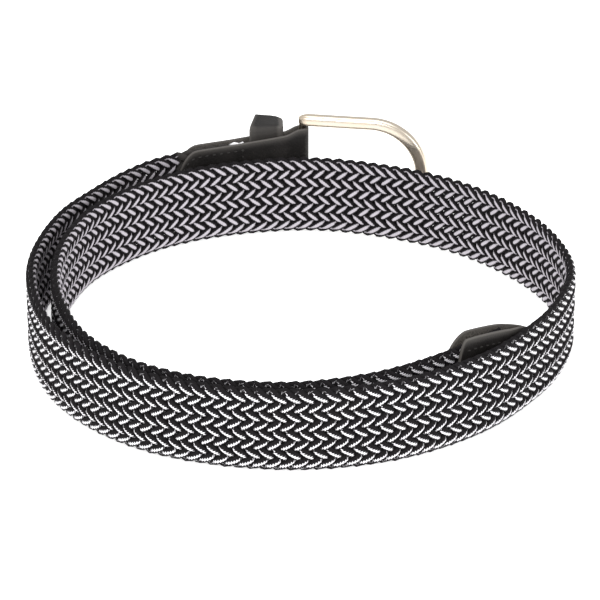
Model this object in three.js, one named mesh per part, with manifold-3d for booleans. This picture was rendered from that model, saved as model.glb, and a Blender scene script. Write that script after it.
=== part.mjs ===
// A braided elastic belt, lying loosely rolled on its edge: about one and two thirds turns of
// band, a leather tongue on the inner end, and a leather end with keeper and buckle outside.
// Millimetres, +Z up. The coil stands on the plane z = 0.
import * as THREE from 'three';
import { mergeVertices } from 'three/addons/utils/BufferGeometryUtils.js';
import Module from 'manifold-3d';

// Band
const bandWidth = 35;
const bandThickness = 4.2;
const bandFoot = 1.4; // width of the flat under edge that the band stands on
const bandStep = 6; // distance between two sections of the band
const coilRadius = 104; // middle of the band to the middle of the coil, at the back
const turnGap = 1.8; // least space between the two turns

// Leather ends
const leatherThickness = 1.3;
const strapMargin = 0.1; // how far the buckle end's leather stands past each edge of the band
const foldMargin = 1.3; // the same where it folds round the bar
const foldReach = 8; // length over which that extra height is lost
const keeperPinch = 0.6; // how far the leather is drawn in beside the keeper
const tipMargin = 1.7; // how far the tongue's leather stands past each edge of the band
const seatClearance = 0.3; // space between two pieces that touch on the real belt
const cutNose = 3; // half height of a leather layer at the very end of its rounded cut
const edgeChamfer = 0.35;
const tipLength = 49; // from the nose of the tongue to the cut of its outer layer
const tipLayerStep = 2.4; // its inner layer is that much longer
const tipCutOutside = 4.5; // length of the rounded cut that ends the outer layer
const tipCutInside = 12.5;
const tipTaper = 45; // length of the tongue's rounded nose
const tipNose = 3.5; // half height at the nose
const tipCover = 24; // how much of the band lies inside the tongue
const buckleEndLength = 56.2; // from the bar to the cut of its inner layer
const buckleLayerStep = 1.2; // its outer layer is that much shorter
const buckleCut = 10; // length of the rounded cut that ends both layers

// Keeper
const keeperDistance = 15.4; // from the bar to the middle of the keeper
const keeperWidthInside = 15;
const keeperWidthOutside = 12;
const keeperThickness = 1.6;
const keeperSlot = 8.3; // depth left for the tongue
const keeperHeadroom = 1.3; // space over and under the tongue that the keeper takes in
const keeperRise = 0.4; // the outer run is that much taller than the inner one, above and below
const keeperSkew = 1; // how much the top of the outer run slants down towards the buckle, each way
const keeperLean = 3; // how far the outer run lies towards the buckle
const keeperCorner = 1.6;
const keeperToBand = 2.1; // from the keeper's inner run to the end of the band

// Buckle
const frameLength = 56.4; // from the outside of the bar to the far end of the bow
const frameArm = 5; // height of the straight arms
const frameToe = 5.6; // width of the bow where the prong lies on it
const frameDepth = 4.8;
const frameBevel = 0.8;
const frameHeading = -8.7; // degrees from +X, seen from above
const windowClearance = 0.5; // between the tongue's edge and each arm
const barRadius = 1.3;
const barClearance = 0.3;
const prongPlay = 0.4; // between the bar and the prong's eye
const prongWidth = 2.6;
const prongThickness = 1.8;
const prongOverhang = 0.3; // past the far end of the bow
const prongDroop = 3.2; // degrees that its free end hangs down, by the play at the bar
const prongSettle = 0.15; // how far it sits below the middle of its slot
const slotClearance = 0.6;
const liftLength = 100; // length of band that rises from the floor to the buckle
const liftEase = 2.2; // the higher, the more of the rise lies close to the buckle

// The route of the band seen from above, from the nose of the tongue to the bar. One row for
// each change of curve: the bearing in degrees, the distance from the middle as a share of
// coilRadius, and whether it runs inside (0) or outside (1) the other turn.
const route = [
  { bearing: 335, reach: 0.965, outer: 0 },
  { bearing: 326, reach: 0.960, outer: 0 },
  { bearing: 318, reach: 0.942, outer: 0 },
  { bearing: 309, reach: 0.926, outer: 0 },
  { bearing: 300, reach: 0.935, outer: 0 },
  { bearing: 286, reach: 0.967, outer: 0 },
  { bearing: 270, reach: 1.005, outer: 0 },
  { bearing: 252, reach: 1.029, outer: 0 },
  { bearing: 235, reach: 1.034, outer: 0 },
  { bearing: 218, reach: 1.010, outer: 0 },
  { bearing: 200, reach: 0.967, outer: 0 },
  { bearing: 182, reach: 0.952, outer: 0 },
  { bearing: 164, reach: 0.963, outer: 0 },
  { bearing: 145, reach: 0.988, outer: 0 },
  { bearing: 120, reach: 0.999, outer: 0 },
  { bearing: 90, reach: 1.002, outer: 0 },
  { bearing: 66, reach: 0.990, outer: 0 },
  { bearing: 46, reach: 0.983, outer: 0.25 },
  { bearing: 22, reach: 0.986, outer: 0.5 },
  { bearing: 0, reach: 0.994, outer: 0.75 },
  { bearing: -18, reach: 0.964, outer: 1 },
  { bearing: -32, reach: 0.954, outer: 1 },
  { bearing: -50, reach: 0.967, outer: 1 },
  { bearing: -72, reach: 0.992, outer: 1 },
  { bearing: -95, reach: 1.010, outer: 1 },
  { bearing: -122, reach: 1.030, outer: 1 },
  { bearing: -148, reach: 1.016, outer: 1 },
  { bearing: -178, reach: 0.988, outer: 1 },
  { bearing: -204, reach: 1.009, outer: 1 },
  { bearing: -219, reach: 1.032, outer: 1 },
  { bearing: -230, reach: 1.067, outer: 1 },
  { bearing: -238, reach: 1.087, outer: 1 },
  { bearing: -246, reach: 1.079, outer: 1 },
  { bearing: -256, reach: 1.050, outer: 1 },
  { bearing: -264, reach: 1.051, outer: 1 },
  { bearing: -270, reach: 1.065, outer: 1 },
];

// What follows from the sizes above
const foldHeight = bandWidth + 2 * foldMargin;
const tongueHeight = bandWidth + 2 * tipMargin;
const tongueLength = tipLength - tipCover; // what lies ahead of the band
const bandToBar = keeperDistance + keeperWidthInside / 2 + keeperToBand;
const layerSpace = bandThickness / 2 + seatClearance; // middle of the band to a layer's inner face
const foldSpace = barRadius + barClearance;
const windowHeight = tongueHeight + 2 * windowClearance;
const frameHeight = windowHeight + 2 * frameArm;
const foldLift = frameHeight / 2 - bandWidth / 2;
const keeperInner = foldSpace + leatherThickness / 2; // where the outer layer runs at the keeper
const radians = Math.PI / 180;

const finishes = {
  weave: { color: 0x55535a, roughness: 0.85, metalness: 0 },
  leather: { color: 0x1b1a1c, roughness: 0.55, metalness: 0 },
  metal: { color: 0xd8ccb8, roughness: 0.3, metalness: 1 },
};

const smooth = (t) => {
  const s = Math.min(1, Math.max(0, t));
  return s * s * (3 - 2 * s);
};

// A smooth curve through the rows of the route, as points seen from above
function routePoints(spacing) {
  const corners = route.map(({ bearing, reach, outer }) => {
    const radius = coilRadius * reach + outer * (bandThickness + turnGap);
    return new THREE.Vector3(radius * Math.cos(bearing * radians), radius * Math.sin(bearing * radians), 0);
  });
  const curve = new THREE.CatmullRomCurve3(corners, false, 'centripetal');
  curve.arcLengthDivisions = 4000;
  const count = Math.round(curve.getLength() / spacing);
  return curve.getSpacedPoints(count);
}

const routeStep = 0.5;
const middle = routePoints(routeStep);
const stepLength = middle[0].distanceTo(middle[1]);
const beltLength = stepLength * (middle.length - 1);

// How high the band's middle stands, at a distance from the nose of the tongue
function heightAt(distance) {
  const fromBar = beltLength - distance - foldSpace - leatherThickness;
  const rise = foldLift * (1 - Math.min(1, Math.max(0, fromBar / liftLength))) ** liftEase;
  const lift = tipMargin * (1 - smooth((distance - tongueLength) / tipCover));
  return bandWidth / 2 + rise + lift;
}

// The place, the direction and the outward normal of the band at a distance from the nose
function stationAt(distance) {
  const at = Math.min(middle.length - 1.0001, Math.max(0, distance / stepLength));
  const low = Math.floor(at);
  const place = middle[low].clone().lerp(middle[low + 1], at - low);
  const before = middle[Math.max(0, low - 3)];
  const after = middle[Math.min(middle.length - 1, low + 4)];
  const along = after.clone().sub(before).normalize();
  // The band runs clockwise, so the outside of the coil lies on its left
  const outward = new THREE.Vector3(-along.y, along.x, 0);
  return { place, along, outward, height: heightAt(distance) };
}

// How far two leather layers have spread, from 0 at their turn to 1 before the end of the band
const spread = (share) => smooth((share - 0.35) / 0.6);

// Joins rings of points, all with the same number of points, into one closed body
function loft(rings, closed = false) {
  const sides = rings[0].length;
  const positions = rings.flat().flatMap((p) => [p.x, p.y, p.z]);
  const faces = [];
  const last = closed ? rings.length : rings.length - 1;
  for (let ring = 0; ring < last; ring += 1) {
    const here = ring * sides;
    const next = ((ring + 1) % rings.length) * sides;
    for (let side = 0; side < sides; side += 1) {
      const far = (side + 1) % sides;
      faces.push(here + side, here + far, next + far);
      faces.push(here + side, next + far, next + side);
    }
  }
  if (!closed) {
    const end = (rings.length - 1) * sides;
    for (let side = 1; side < sides - 1; side += 1) {
      faces.push(0, side + 1, side);
      faces.push(end, end + side, end + side + 1);
    }
  }
  const geometry = new THREE.BufferGeometry();
  geometry.setAttribute('position', new THREE.Float32BufferAttribute(positions, 3));
  geometry.setIndex(faces);
  return outsideOut(geometry);
}

// Turns every face round if the body's volume comes out negative
function outsideOut(geometry) {
  const position = geometry.getAttribute('position');
  const index = geometry.getIndex();
  const corner = (i) => new THREE.Vector3().fromBufferAttribute(position, index.getX(i));
  let volume = 0;
  for (let i = 0; i < index.count; i += 3) {
    volume += corner(i).dot(corner(i + 1).cross(corner(i + 2)));
  }
  if (volume < 0) {
    for (let i = 0; i < index.count; i += 3) {
      const second = index.getX(i + 1);
      index.setX(i + 1, index.getX(i + 2));
      index.setX(i + 2, second);
    }
  }
  return geometry;
}

function piece(name, finish, geometry) {
  const mesh = new THREE.Mesh(geometry, new THREE.MeshStandardMaterial(finishes[finish]));
  mesh.name = name;
  return mesh;
}

// Booleans
const wasm = await Module();
wasm.setup();

function toSolid(geometry) {
  const bare = geometry.clone();
  bare.deleteAttribute('normal');
  bare.deleteAttribute('uv');
  const merged = mergeVertices(bare, 1e-4);
  return new wasm.Manifold(new wasm.Mesh({
    numProp: 3,
    vertProperties: new Float32Array(merged.getAttribute('position').array),
    triVerts: new Uint32Array(merged.getIndex().array),
  }));
}

function toGeometry(solid) {
  const mesh = solid.getMesh();
  const geometry = new THREE.BufferGeometry();
  geometry.setAttribute('position', new THREE.Float32BufferAttribute(mesh.vertProperties, 3));
  geometry.setIndex([...mesh.triVerts]);
  return geometry;
}

// The woven band: a flat strap with round edges and a narrow flat foot
function braidedBand() {
  const round = bandThickness / 2;
  const half = bandWidth / 2;
  const foot = bandFoot / 2;
  const shoulder = { out: round * 0.82, up: half - round * 0.42 }; // between the edge and the side
  const section = [
    [foot, -half], [shoulder.out, -shoulder.up], [round, -half + round],
    [round, half - round], [shoulder.out, shoulder.up], [foot, half],
    [-foot, half], [-shoulder.out, shoulder.up], [-round, half - round],
    [-round, -half + round], [-shoulder.out, -shoulder.up], [-foot, -half],
  ];
  const from = tongueLength;
  const to = beltLength - bandToBar;
  const count = Math.round((to - from) / bandStep);
  const rings = [];
  for (let i = 0; i <= count; i += 1) {
    const { place, outward, height } = stationAt(from + ((to - from) * i) / count);
    rings.push(section.map(([out, up]) => {
      const point = place.clone().addScaledVector(outward, out);
      point.z = height + up;
      return point;
    }));
  }
  return piece('braided_band', 'weave', loft(rings));
}

// One upright cut through a leather strip: its middle, its thickness direction, half its height
function stripRing(centre, across, height, halfHeight) {
  const thick = leatherThickness / 2;
  const ring = [
    [thick, -halfHeight + edgeChamfer], [thick, halfHeight - edgeChamfer],
    [thick - edgeChamfer, halfHeight], [-thick + edgeChamfer, halfHeight],
    [-thick, halfHeight - edgeChamfer], [-thick, -halfHeight + edgeChamfer],
    [-thick + edgeChamfer, -halfHeight], [thick - edgeChamfer, -halfHeight],
  ];
  return ring.map(([out, up]) => {
    const point = centre.clone().addScaledVector(across, out);
    point.z = height + up;
    return point;
  });
}

// A leather strip that runs along one side of the band, turns round an end and comes back.
// The stations of the outer side (1) and the inner side (-1) give the distance from the turn,
// the space to the band's middle, how high the strip's middle stands and half its height.
function foldedStrip(stationsOf, distanceOf, turnSpace) {
  const run = (side) => stationsOf(side).map(({ away, space, height, halfHeight }) => {
    const { place, outward } = stationAt(distanceOf(away));
    const centre = place.clone().addScaledVector(outward, side * (space + leatherThickness / 2));
    return stripRing(centre, outward.clone().multiplyScalar(side), height, halfHeight);
  });
  const { place, along, outward } = stationAt(distanceOf(0));
  const ahead = along.clone().multiplyScalar(Math.sign(distanceOf(0) - distanceOf(1)));
  const { height, halfHeight } = stationsOf(1).at(-1);
  const turnSteps = 8;
  const turn = [];
  for (let i = 1; i < turnSteps; i += 1) {
    const angle = Math.PI / 2 - (Math.PI * i) / turnSteps;
    const across = outward.clone().multiplyScalar(Math.sin(angle)).addScaledVector(ahead, Math.cos(angle));
    const centre = place.clone().addScaledVector(across, turnSpace + leatherThickness / 2);
    turn.push(stripRing(centre, across, height, halfHeight));
  }
  return loft([...run(1), ...turn, ...run(-1).reverse()]);
}

// Half height of a strip at a distance from an end that is rounded over a given length
function roundedHeight(toEnd, length, nose, full) {
  const share = Math.min(1, toEnd / length);
  return Math.max(nose, full * Math.sqrt(1 - (1 - share) ** 2));
}

// Distances from the turn at which a layer is cut: closest together at its rounded end
function awaysFrom(length, cut) {
  const nearTurn = 0.01; // the turn itself starts at 0
  const aways = [];
  const cutSteps = 6;
  for (let i = 0; i < cutSteps; i += 1) {
    aways.push(length - cut * (1 - Math.cos((Math.PI / 2 / cutSteps) * i)));
  }
  const rest = length - cut;
  const steps = 13;
  for (let i = 0; i < steps; i += 1) {
    aways.push(rest * (1 - i / steps));
  }
  return [...aways, nearTurn];
}

function tipLeather() {
  const thin = seatClearance / 2;
  const full = tongueHeight / 2;
  const stationsOf = (side) => {
    const length = side > 0 ? tipLength : tipLength + tipLayerStep;
    const cut = side > 0 ? tipCutOutside : tipCutInside;
    return awaysFrom(length, cut).map((away) => ({
      away,
      space: thin + (layerSpace - thin) * spread(away / tongueLength),
      height: full,
      halfHeight: Math.min(
        roundedHeight(away, tipTaper, tipNose, full),
        roundedHeight(length - away, cut, cutNose, full),
      ),
    }));
  };
  return piece('tip_leather', 'leather', foldedStrip(stationsOf, (away) => away, thin));
}

function buckleLeather() {
  // Widest at the fold, drawn in beside the keeper, and a little wider than the band from there
  const fullHeight = (away) => {
    const drawnIn = foldHeight / 2 - (foldMargin + keeperPinch) * smooth(away / foldReach);
    return drawnIn + (strapMargin + keeperPinch) * smooth((away - foldReach) / (bandToBar - foldReach));
  };
  const distanceOf = (away) => beltLength - away;
  const stationsOf = (side) => {
    const length = side > 0 ? buckleEndLength - buckleLayerStep : buckleEndLength;
    return awaysFrom(length, buckleCut).map((away) => ({
      away,
      space: foldSpace + (layerSpace - foldSpace) * spread(away / bandToBar),
      height: heightAt(distanceOf(away)),
      halfHeight: roundedHeight(length - away, buckleCut, cutNose, fullHeight(away)),
    }));
  };
  const strip = foldedStrip(stationsOf, distanceOf, foldSpace);
  // The slot that the prong passes through
  const { place, along, height } = stationAt(beltLength);
  const reach = foldSpace + prongThickness + slotClearance;
  const slot = new THREE.BoxGeometry(2 * reach, 4 * reach, prongWidth + 2 * slotClearance);
  slot.rotateZ(Math.atan2(along.y, along.x));
  slot.translate(place.x, place.y, height);
  return piece('buckle_leather', 'leather', toGeometry(toSolid(strip).subtract(toSolid(slot))));
}

// The keeper: an upright loop whose inner run lies between the two leather layers
function keeperLoop() {
  const { place, along, outward, height } = stationAt(beltLength - keeperDistance);
  const half = keeperThickness / 2;
  const inside = keeperInner - leatherThickness / 2 - seatClearance - half;
  const outside = keeperInner + leatherThickness / 2 + keeperSlot + half;
  const top = tongueHeight / 2 + keeperHeadroom + half;
  const corners = [
    { out: inside, up: -top }, { out: outside, up: -top - keeperRise },
    { out: outside, up: top + keeperRise }, { out: inside, up: top },
  ];
  const outline = [];
  corners.forEach((corner, i) => {
    const before = corners[(i + 3) % 4];
    const after = corners[(i + 1) % 4];
    const pull = (other) => {
      const reach = Math.hypot(other.out - corner.out, other.up - corner.up);
      return {
        out: corner.out + ((other.out - corner.out) * keeperCorner) / reach,
        up: corner.up + ((other.up - corner.up) * keeperCorner) / reach,
      };
    };
    const start = pull(before);
    const finish = pull(after);
    for (let j = 0; j <= 4; j += 1) {
      const t = j / 4;
      outline.push({
        out: (1 - t) ** 2 * start.out + 2 * t * (1 - t) * corner.out + t * t * finish.out,
        up: (1 - t) ** 2 * start.up + 2 * t * (1 - t) * corner.up + t * t * finish.up,
      });
    }
  });
  const rings = outline.map((point, i) => {
    const before = outline[(i + outline.length - 1) % outline.length];
    const after = outline[(i + 1) % outline.length];
    const length = Math.hypot(after.out - before.out, after.up - before.up);
    const normal = { out: (after.up - before.up) / length, up: -(after.out - before.out) / length };
    const share = (point.out - inside) / (outside - inside);
    const wide = (keeperWidthInside + (keeperWidthOutside - keeperWidthInside) * share) / 2;
    const section = [
      [half, wide - edgeChamfer], [half - edgeChamfer, wide],
      [-half + edgeChamfer, wide], [-half, wide - edgeChamfer],
      [-half, -wide + edgeChamfer], [-half + edgeChamfer, -wide],
      [half - edgeChamfer, -wide], [half, -wide + edgeChamfer],
    ];
    const slant = keeperSkew * share * Math.max(0, point.up / top);
    return section.map(([off, side]) => {
      const spot = place.clone().addScaledVector(outward, point.out + normal.out * off);
      spot.addScaledVector(along, side + keeperLean * share);
      spot.z = height + point.up + normal.up * off - (slant * side) / wide;
      return spot;
    });
  });
  return piece('keeper_loop', 'leather', loft(rings, true));
}

// The buckle is drawn flat, X along its length from the bar, Y up the bar, Z outward, and is
// then stood up at the bar
function standAtBar(geometry) {
  const { place } = stationAt(beltLength);
  geometry.rotateX(Math.PI / 2);
  geometry.rotateZ(frameHeading * radians);
  geometry.translate(place.x, place.y, frameHeight / 2);
  return geometry;
}

function bow(left, right, half) {
  const points = [new THREE.Vector2(left, -half)];
  const steps = 18;
  for (let i = 0; i <= steps; i += 1) {
    const angle = -Math.PI / 2 + (Math.PI * i) / steps;
    points.push(new THREE.Vector2(right - half + half * Math.cos(angle), half * Math.sin(angle)));
  }
  points.push(new THREE.Vector2(left, half));
  return points;
}

function buckleFrame() {
  const left = -barRadius;
  const right = frameLength - barRadius;
  const outer = bow(left, right, frameHeight / 2);
  const inner = bow(left, right - frameToe, windowHeight / 2);
  const outline = new THREE.Shape([...outer, ...inner.reverse()]);
  const body = new THREE.ExtrudeGeometry(outline, {
    depth: frameDepth - 2 * frameBevel, bevelEnabled: true, bevelThickness: frameBevel,
    bevelSize: frameBevel, bevelOffset: -frameBevel, bevelSegments: 2, steps: 1,
  });
  body.translate(0, 0, -frameDepth / 2 + frameBevel);
  const bar = new THREE.CylinderGeometry(barRadius, barRadius, windowHeight + frameArm, 20);
  const joined = toGeometry(toSolid(body).add(toSolid(bar)));
  return piece('buckle_frame', 'metal', standAtBar(joined));
}

// An eye round the bar, and a blade that lies on the outer side of the bow
function buckleProng() {
  const hole = barRadius + prongPlay;
  const eye = hole + prongThickness;
  const seat = frameDepth / 2 + seatClearance;
  const end = frameLength - barRadius + prongOverhang;
  const straight = end - frameToe * 1.6; // from here on the blade lies flat on the bow
  const nose = prongThickness / 2; // length of the blunt end
  const outline = new THREE.Shape();
  const start = Math.asin(Math.min(1, (eye - prongThickness) / eye));
  outline.moveTo(eye * Math.cos(start), eye * Math.sin(start));
  outline.lineTo(straight, seat);
  outline.lineTo(end - nose, seat);
  outline.lineTo(end, seat + prongThickness / 3);
  outline.lineTo(end - nose / 3, seat + (prongThickness * 5) / 6);
  outline.lineTo(end - nose, seat + prongThickness);
  outline.lineTo(straight, seat + prongThickness);
  outline.lineTo(0, eye);
  outline.absarc(0, 0, eye, Math.PI / 2, 2 * Math.PI + start, false);
  const eyeHole = new THREE.Path();
  eyeHole.absarc(0, 0, hole, 0, 2 * Math.PI, true);
  outline.holes.push(eyeHole);
  const body = new THREE.ExtrudeGeometry(outline, {
    depth: prongWidth, bevelEnabled: false, curveSegments: 10, steps: 1,
  });
  body.translate(0, 0, -prongWidth / 2);
  // Drawn from above: Y becomes outward and Z up the bar
  const { place, height } = stationAt(beltLength);
  body.rotateY(prongDroop * radians);
  body.rotateZ(frameHeading * radians);
  body.translate(place.x, place.y, height - prongSettle);
  return piece('buckle_prong', 'metal', body);
}

const belt = new THREE.Group();
belt.add(braidedBand(), tipLeather(), buckleLeather(), keeperLoop());

const buckle = new THREE.Group();
buckle.add(buckleFrame(), buckleProng());

const group = new THREE.Group();
group.add(belt, buckle);

// The origin is the middle of the whole part's box, on the plane that it stands on
const box = new THREE.Box3().setFromObject(group, true);
group.position.set(-(box.min.x + box.max.x) / 2, -(box.min.y + box.max.y) / 2, -box.min.z);
group.updateMatrixWorld(true);

export default group;
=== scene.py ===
import math
from functools import partial

import bmesh
import bpy
import numpy as np
from mathutils import Matrix, Vector


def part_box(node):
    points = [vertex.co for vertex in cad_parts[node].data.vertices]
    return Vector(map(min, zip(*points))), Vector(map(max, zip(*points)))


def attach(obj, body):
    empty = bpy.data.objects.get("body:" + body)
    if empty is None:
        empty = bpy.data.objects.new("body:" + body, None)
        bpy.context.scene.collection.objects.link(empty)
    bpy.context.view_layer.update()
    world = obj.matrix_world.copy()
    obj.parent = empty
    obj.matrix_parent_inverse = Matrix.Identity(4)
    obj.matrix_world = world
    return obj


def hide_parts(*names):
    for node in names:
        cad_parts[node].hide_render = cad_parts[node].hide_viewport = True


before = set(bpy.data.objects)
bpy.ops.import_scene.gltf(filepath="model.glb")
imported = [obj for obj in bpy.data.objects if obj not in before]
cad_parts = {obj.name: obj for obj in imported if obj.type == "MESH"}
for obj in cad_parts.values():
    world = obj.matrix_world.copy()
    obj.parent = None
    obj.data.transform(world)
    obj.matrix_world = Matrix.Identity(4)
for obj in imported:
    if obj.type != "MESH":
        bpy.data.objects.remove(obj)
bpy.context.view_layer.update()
mm = 0.001
up = np.array([0.0, 0.0, 1.0])

# ---- camera, light and floor
shot = {
    "aim": (0.00045, -0.00768, 0.0175),
    "elevation": 26.0,  # degrees above the floor
    "distance": 1.4,
    "lens": 208.08,
    "sensor": 36,
    "shiftX": -0.0033,
    "farthest": 30,
}
studio = {
    "sky": (1.0, 1.0, 1.0),
    "skyStrength": 0.7,
    "floorColour": (0.93, 0.93, 0.93),
    "floorShade": 0.985,  # its darker specks, as a share of its colour
    "floorSpeckle": 300,
    "floorGlow": 0.7,
    "floorSize": 8.0,
    # name: place, what it points at, size, watts
    "lamps": {
        "top": ((0.05, 0.1, 1.25), (0, 0, 0), 1.2, 8),
        "front": ((-0.28, -0.78, 0.38), (0, -0.1, 0), 0.5, 3.6),
        "right": ((0.9, -0.35, 0.5), (0, 0, 0), 0.6, 3.0),
    },
}


def linked(name, data):
    thing = bpy.data.objects.new(name, data)
    bpy.context.scene.collection.objects.link(thing)
    return thing


def setUpShot():
    scene = bpy.context.scene
    camera = linked("camera", bpy.data.cameras.new("camera"))
    aim = Vector(shot["aim"])
    angle = math.radians(shot["elevation"])
    camera.location = aim + shot["distance"] * Vector((0, -math.cos(angle), math.sin(angle)))
    camera.rotation_euler = (aim - camera.location).to_track_quat("-Z", "Y").to_euler()
    camera.data.lens = shot["lens"]
    camera.data.sensor_width = shot["sensor"]
    camera.data.shift_x = shot["shiftX"]
    camera.data.clip_end = shot["farthest"]
    scene.camera = camera
    for name, (place, target, size, power) in studio["lamps"].items():
        lamp = linked(name, bpy.data.lights.new(name, "AREA"))
        lamp.data.shape = "DISK"
        lamp.data.size = size
        lamp.data.energy = power
        lamp.location = place
        direction = Vector(target) - Vector(place)
        lamp.rotation_euler = direction.to_track_quat("-Z", "Y").to_euler()
    world = bpy.data.worlds.new("studio")
    world.use_nodes = True
    background = world.node_tree.nodes["Background"]
    background.inputs["Color"].default_value = (*studio["sky"], 1)
    background.inputs["Strength"].default_value = studio["skyStrength"]
    scene.world = world
    scene.view_settings.view_transform = "Standard"


setUpShot()
print("camera and lights are set")


# ---- sockets that can be calculated with, for materials and Geometry Nodes alike
def addNode(tree, kind, settings=None, values=None):
    node = tree.nodes.new(kind)
    for name, value in (settings or {}).items():
        setattr(node, name, value)
    for key, value in (values or {}).items():
        socket = node.inputs[key] if isinstance(key, int) else findSocket(node.inputs, key)
        if isinstance(value, Signal):
            tree.links.new(value.socket, socket)
        else:
            socket.default_value = value
    return node


def findSocket(sockets, key):
    for socket in sockets:
        if socket.identifier == key and socket.enabled:
            return socket
    return next(socket for socket in sockets if socket.name == key and socket.enabled)


class Signal:
    def __init__(self, tree, socket):
        self.tree = tree
        self.socket = socket

    def math(self, operation, *others):
        values = dict(enumerate((self, *others)))
        node = addNode(self.tree, "ShaderNodeMath", {"operation": operation}, values)
        return Signal(self.tree, node.outputs[0])

    def turned(self, operation, other):
        values = {0: other, 1: self}
        node = addNode(self.tree, "ShaderNodeMath", {"operation": operation}, values)
        return Signal(self.tree, node.outputs[0])

    def __add__(self, other):
        return self.math("ADD", other)

    def __radd__(self, other):
        return self.math("ADD", other)

    def __sub__(self, other):
        return self.math("SUBTRACT", other)

    def __rsub__(self, other):
        return self.turned("SUBTRACT", other)

    def __mul__(self, other):
        return self.math("MULTIPLY", other)

    def __rmul__(self, other):
        return self.math("MULTIPLY", other)

    def __truediv__(self, other):
        return self.math("DIVIDE", other)

    def __rtruediv__(self, other):
        return self.turned("DIVIDE", other)

    def __neg__(self):
        return self.math("MULTIPLY", -1.0)

    def smooth(self, low, high):
        node = addNode(
            self.tree,
            "ShaderNodeMapRange",
            {"interpolation_type": "SMOOTHSTEP"},
            {"Value": self, "From Min": low, "From Max": high, "To Min": 0.0, "To Max": 1.0},
        )
        return Signal(self.tree, node.outputs[0])


def out(tree, node, key=0):
    socket = node.outputs[key] if isinstance(key, int) else findSocket(node.outputs, key)
    return Signal(tree, socket)


def splitVector(tree, vector):
    node = addNode(tree, "ShaderNodeSeparateXYZ", None, {0: vector})
    return [out(tree, node, axis) for axis in range(3)]


def joinVector(tree, x, y, z):
    return out(tree, addNode(tree, "ShaderNodeCombineXYZ", None, {0: x, 1: y, 2: z}))


def vectorMath(tree, operation, *values):
    node = addNode(tree, "ShaderNodeVectorMath", {"operation": operation}, dict(enumerate(values)))
    return out(tree, node)


def blendColour(tree, factor, first, second):
    node = addNode(
        tree,
        "ShaderNodeMix",
        {"data_type": "RGBA"},
        {"Factor_Float": factor, "A_Color": first, "B_Color": second},
    )
    return out(tree, node, "Result_Color")


# ---- materials
class Finish:
    def __init__(self, name, **fixed):
        self.material = bpy.data.materials.new(name)
        self.material.use_nodes = True
        self.tree = self.material.node_tree
        self.shader = self.tree.nodes["Principled BSDF"]
        for key, value in fixed.items():
            self.shader.inputs[key.replace("_", " ")].default_value = value

    def set(self, key, signal):
        self.tree.links.new(signal.socket, self.shader.inputs[key])

    def place(self):
        return out(self.tree, addNode(self.tree, "ShaderNodeTexCoord"), "Object")

    def attribute(self, name, key="Fac"):
        node = addNode(self.tree, "ShaderNodeAttribute", {"attribute_name": name})
        return out(self.tree, node, key)

    def noise(self, vector, scale, detail=2.0, roughness=0.5):
        values = {"Vector": vector, "Scale": scale, "Detail": detail, "Roughness": roughness}
        return out(self.tree, addNode(self.tree, "ShaderNodeTexNoise", None, values), "Fac")

    def bump(self, height, depth, strength=1.0):
        values = {"Height": height, "Distance": depth, "Strength": strength}
        node = addNode(self.tree, "ShaderNodeBump", None, values)
        self.set("Normal", out(self.tree, node, "Normal"))


cordFinish = {
    "dark": (0.006, 0.005, 0.006, 1),
    # lighter specks on the black yarn, painted highlight
    "darkGlint": (0.018, 0.016, 0.017, 1),
    "light": (0.93, 0.92, 0.94, 1),
    "lightShade": (0.78, 0.76, 0.80, 1),
    # the same white yarn as on the outer side, painted darker as shade on the inner side
    "innerLightShaded": (0.50, 0.47, 0.51, 1),
    "painted": (0.040, 0.037, 0.035, 1),  # between the layers of the strap's leather end
    # the light strips, with angles in degrees, upwards from the middle of the cord's side
    "outerStrip": {
        "middle": -21.0, "half": 17.5, "soft": 3.0, "teeth": 27.0, "ending": 0.02, "whole": 0.65,
        "endLift": 4.0, "rimLift": 24.0, "slant": 17.0,
    },  # fmt: skip
    "innerStrip": {
        "middle": -6.0, "half": 25.0, "soft": 8.0, "teeth": 8.0, "ending": -0.25, "whole": 0.85,
        "endLift": 0.0, "rimLift": 14.0, "slant": 0.0,
    },  # fmt: skip
    "stitch": 1.08 * mm,  # one step of the toothed borders
    "bareEnd": 8.0 * mm,  # the white of the cut cords, left of the keeper
    "coveredEnd": 32.0 * mm,  # how much of a cord is painted up to there
    "yarns": 8,  # round a cord
    "yarnDepth": 0.12 * mm,
    "fuzzScale": 2600,
    "patchScale": 240,
}


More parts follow.
